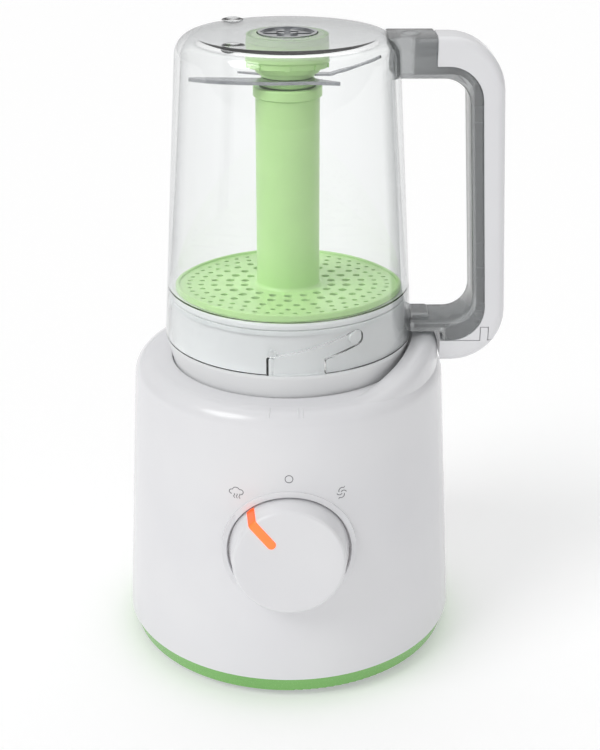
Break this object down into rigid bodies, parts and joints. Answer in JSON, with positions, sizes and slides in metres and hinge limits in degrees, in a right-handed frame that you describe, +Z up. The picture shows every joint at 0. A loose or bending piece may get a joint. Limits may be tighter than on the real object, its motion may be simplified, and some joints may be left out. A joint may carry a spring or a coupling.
{
  "type": "baby food maker",
  "caption": "Round white steamer and blender base with a front knob and an upturned clear jar with a side handle, green strainer column and blade inside.",
  "frame": {"origin": "on the axis of the round base, in the plane that its feet stand on", "axes": "+Z up along the base's axis, -Y towards the knob at the front, +X towards the jar's handle"},
  "size_m": [0.1848, 0.1753, 0.3008],
  "materials": {
    "white_abs": "glossy white moulded ABS",
    "white_pp": "satin white moulded polypropylene",
    "green_abs": "glossy green moulded ABS",
    "green_pp": "translucent light green polypropylene",
    "clear_jar": "clear moulded copolyester",
    "smoky_clear": "clear moulded copolyester, seen through two walls",
    "orange_guide": "translucent orange light guide, lit from behind",
    "stainless": "stainless and plated steel",
    "bearing_steel": "polished bearing steel",
    "bronze": "sintered bronze",
    "green_silicone": "light green silicone",
    "silicone": "translucent white silicone",
    "black_rubber": "matt black rubber",
    "grey_nylon": "matt grey moulded nylon",
    "black_nylon": "matt black glass-filled nylon",
    "lamp": "orange lamp lens",
    "board": "fibreglass circuit board",
    "laminated_steel": "stacked silicon steel sheets",
    "copper": "enamelled copper wire",
    "zinc_bracket": "die-cast bracket",
    "carbon": "pressed carbon",
    "clear_pp": "natural polypropylene",
    "aluminium": "die-cast aluminium",
    "element": "sheathed heating element"
  },
  "bodies": {
    "base": {"base_housing": "white_abs", "trim_ring": "green_abs", "base_plate": "grey_nylon", "rubber_feet": "black_rubber", "base_screws": "stainless", "cord_inlet": "black_nylon", "rotary_switch": "black_nylon", "indicator_lamp": "lamp", "control_board": "board", "motor_stator": "laminated_steel", "field_coils": "copper", "lower_bracket": "zinc_bracket", "upper_bracket": "zinc_bracket", "motor_bolts": "bearing_steel", "lower_bearing": "bearing_steel", "upper_bearing": "bearing_steel", "carbon_brushes": "carbon", "brush_holders": "black_nylon", "motor_mounts": "black_rubber", "drive_seal": "silicone", "water_tank": "clear_pp", "steam_tube": "clear_pp", "heater_plate": "aluminium", "heater_element": "element", "thermostat": "element", "safety_switch": "black_nylon", "plunger_spring": "stainless", "seat_floor": "white_abs"},
    "knob": {"control_knob": "white_abs", "knob_pointer": "orange_guide", "knob_shaft": "black_nylon"},
    "rotor": {"motor_shaft": "stainless", "rotor_core": "laminated_steel", "rotor_windings": "copper", "commutator": "copper", "cooling_fan": "black_nylon", "drive_coupling": "grey_nylon"},
    "filler_cap": {"tank_cap": "grey_nylon", "tank_cap_seal": "silicone"},
    "plunger": {"safety_plunger": "grey_nylon"},
    "foot_ring": {"foot_gasket": "silicone"},
    "lid": {"jar_lid": "white_pp", "drip_dish": "white_pp", "steam_nozzle": "white_pp", "strainer": "green_pp"},
    "mouth_seal": {"lid_seal": "silicone"},
    "jar_body": {"jar": "clear_jar", "handle_frame": "smoky_clear", "handle_cover": "white_abs", "handle_end_cap": "white_abs", "handle_screws": "stainless", "rod_spring": "stainless", "blade_holder": "green_pp", "holder_gasket": "green_silicone", "blade_bush": "bronze"},
    "rod": {"interlock_rod": "grey_nylon"},
    "blades": {"blade": "stainless", "blade_shaft": "stainless", "blade_nut": "stainless", "blade_coupling": "stainless"}
  },
  "joints": [
    {"name": "knob_turn", "type": "hinge", "parent": "base", "child": "knob", "pos_m": [0, -0.07815, 0.079], "axis": [0, 0.9982, -0.0602], "range_deg": [0, 80]},
    {"name": "motor_spin", "type": "hinge", "parent": "base", "child": "rotor", "pos_m": [0, 0, 0.05], "axis": [0, 0, 1], "continuous": true},
    {"name": "filler_cap_turn", "type": "hinge", "parent": "base", "child": "filler_cap", "pos_m": [0, 0.034, 0.136], "axis": [0, 0, 1], "range_deg": [0, 60]},
    {"name": "plunger_press", "type": "slide", "parent": "base", "child": "plunger", "axis": [0, 0, -1], "range_m": [0, 0.0025], "stiffness_N_per_m": 250, "springref_m": -0.002, "deforming": ["plunger_spring"]},
    {"name": "jar_lift", "type": "slide", "parent": "base", "child": "foot_ring", "axis": [0, 0, 1], "range_m": [0, 0.07]},
    {"name": "jar_twist", "type": "hinge", "parent": "foot_ring", "child": "lid", "pos_m": [0, 0, 0.147], "axis": [0, 0, 1], "range_deg": [0, 12]},
    {"name": "jar_unscrew", "type": "hinge", "parent": "lid", "child": "mouth_seal", "pos_m": [0, 0, 0.178], "axis": [0, 0, 1], "range_deg": [0, 28]},
    {"name": "jar_rise", "type": "slide", "parent": "mouth_seal", "child": "jar_body", "axis": [0, 0, 1], "range_m": [0, 0.00702]},
    {"name": "blade_spin", "type": "hinge", "parent": "jar_body", "child": "blades", "pos_m": [0, 0, 0.29], "axis": [0, 0, 1], "continuous": true},
    {"name": "rod_slide", "type": "slide", "parent": "jar_body", "child": "rod", "axis": [0.0582, 0, -0.9983], "range_m": [0, 0.003], "stiffness_N_per_m": 200, "springref_m": -0.002, "deforming": ["rod_spring"]}
  ],
  "couplings": [
    {"joint": "jar_rise", "follows": "jar_unscrew", "m_per_rad": 0.014324}
  ]
}
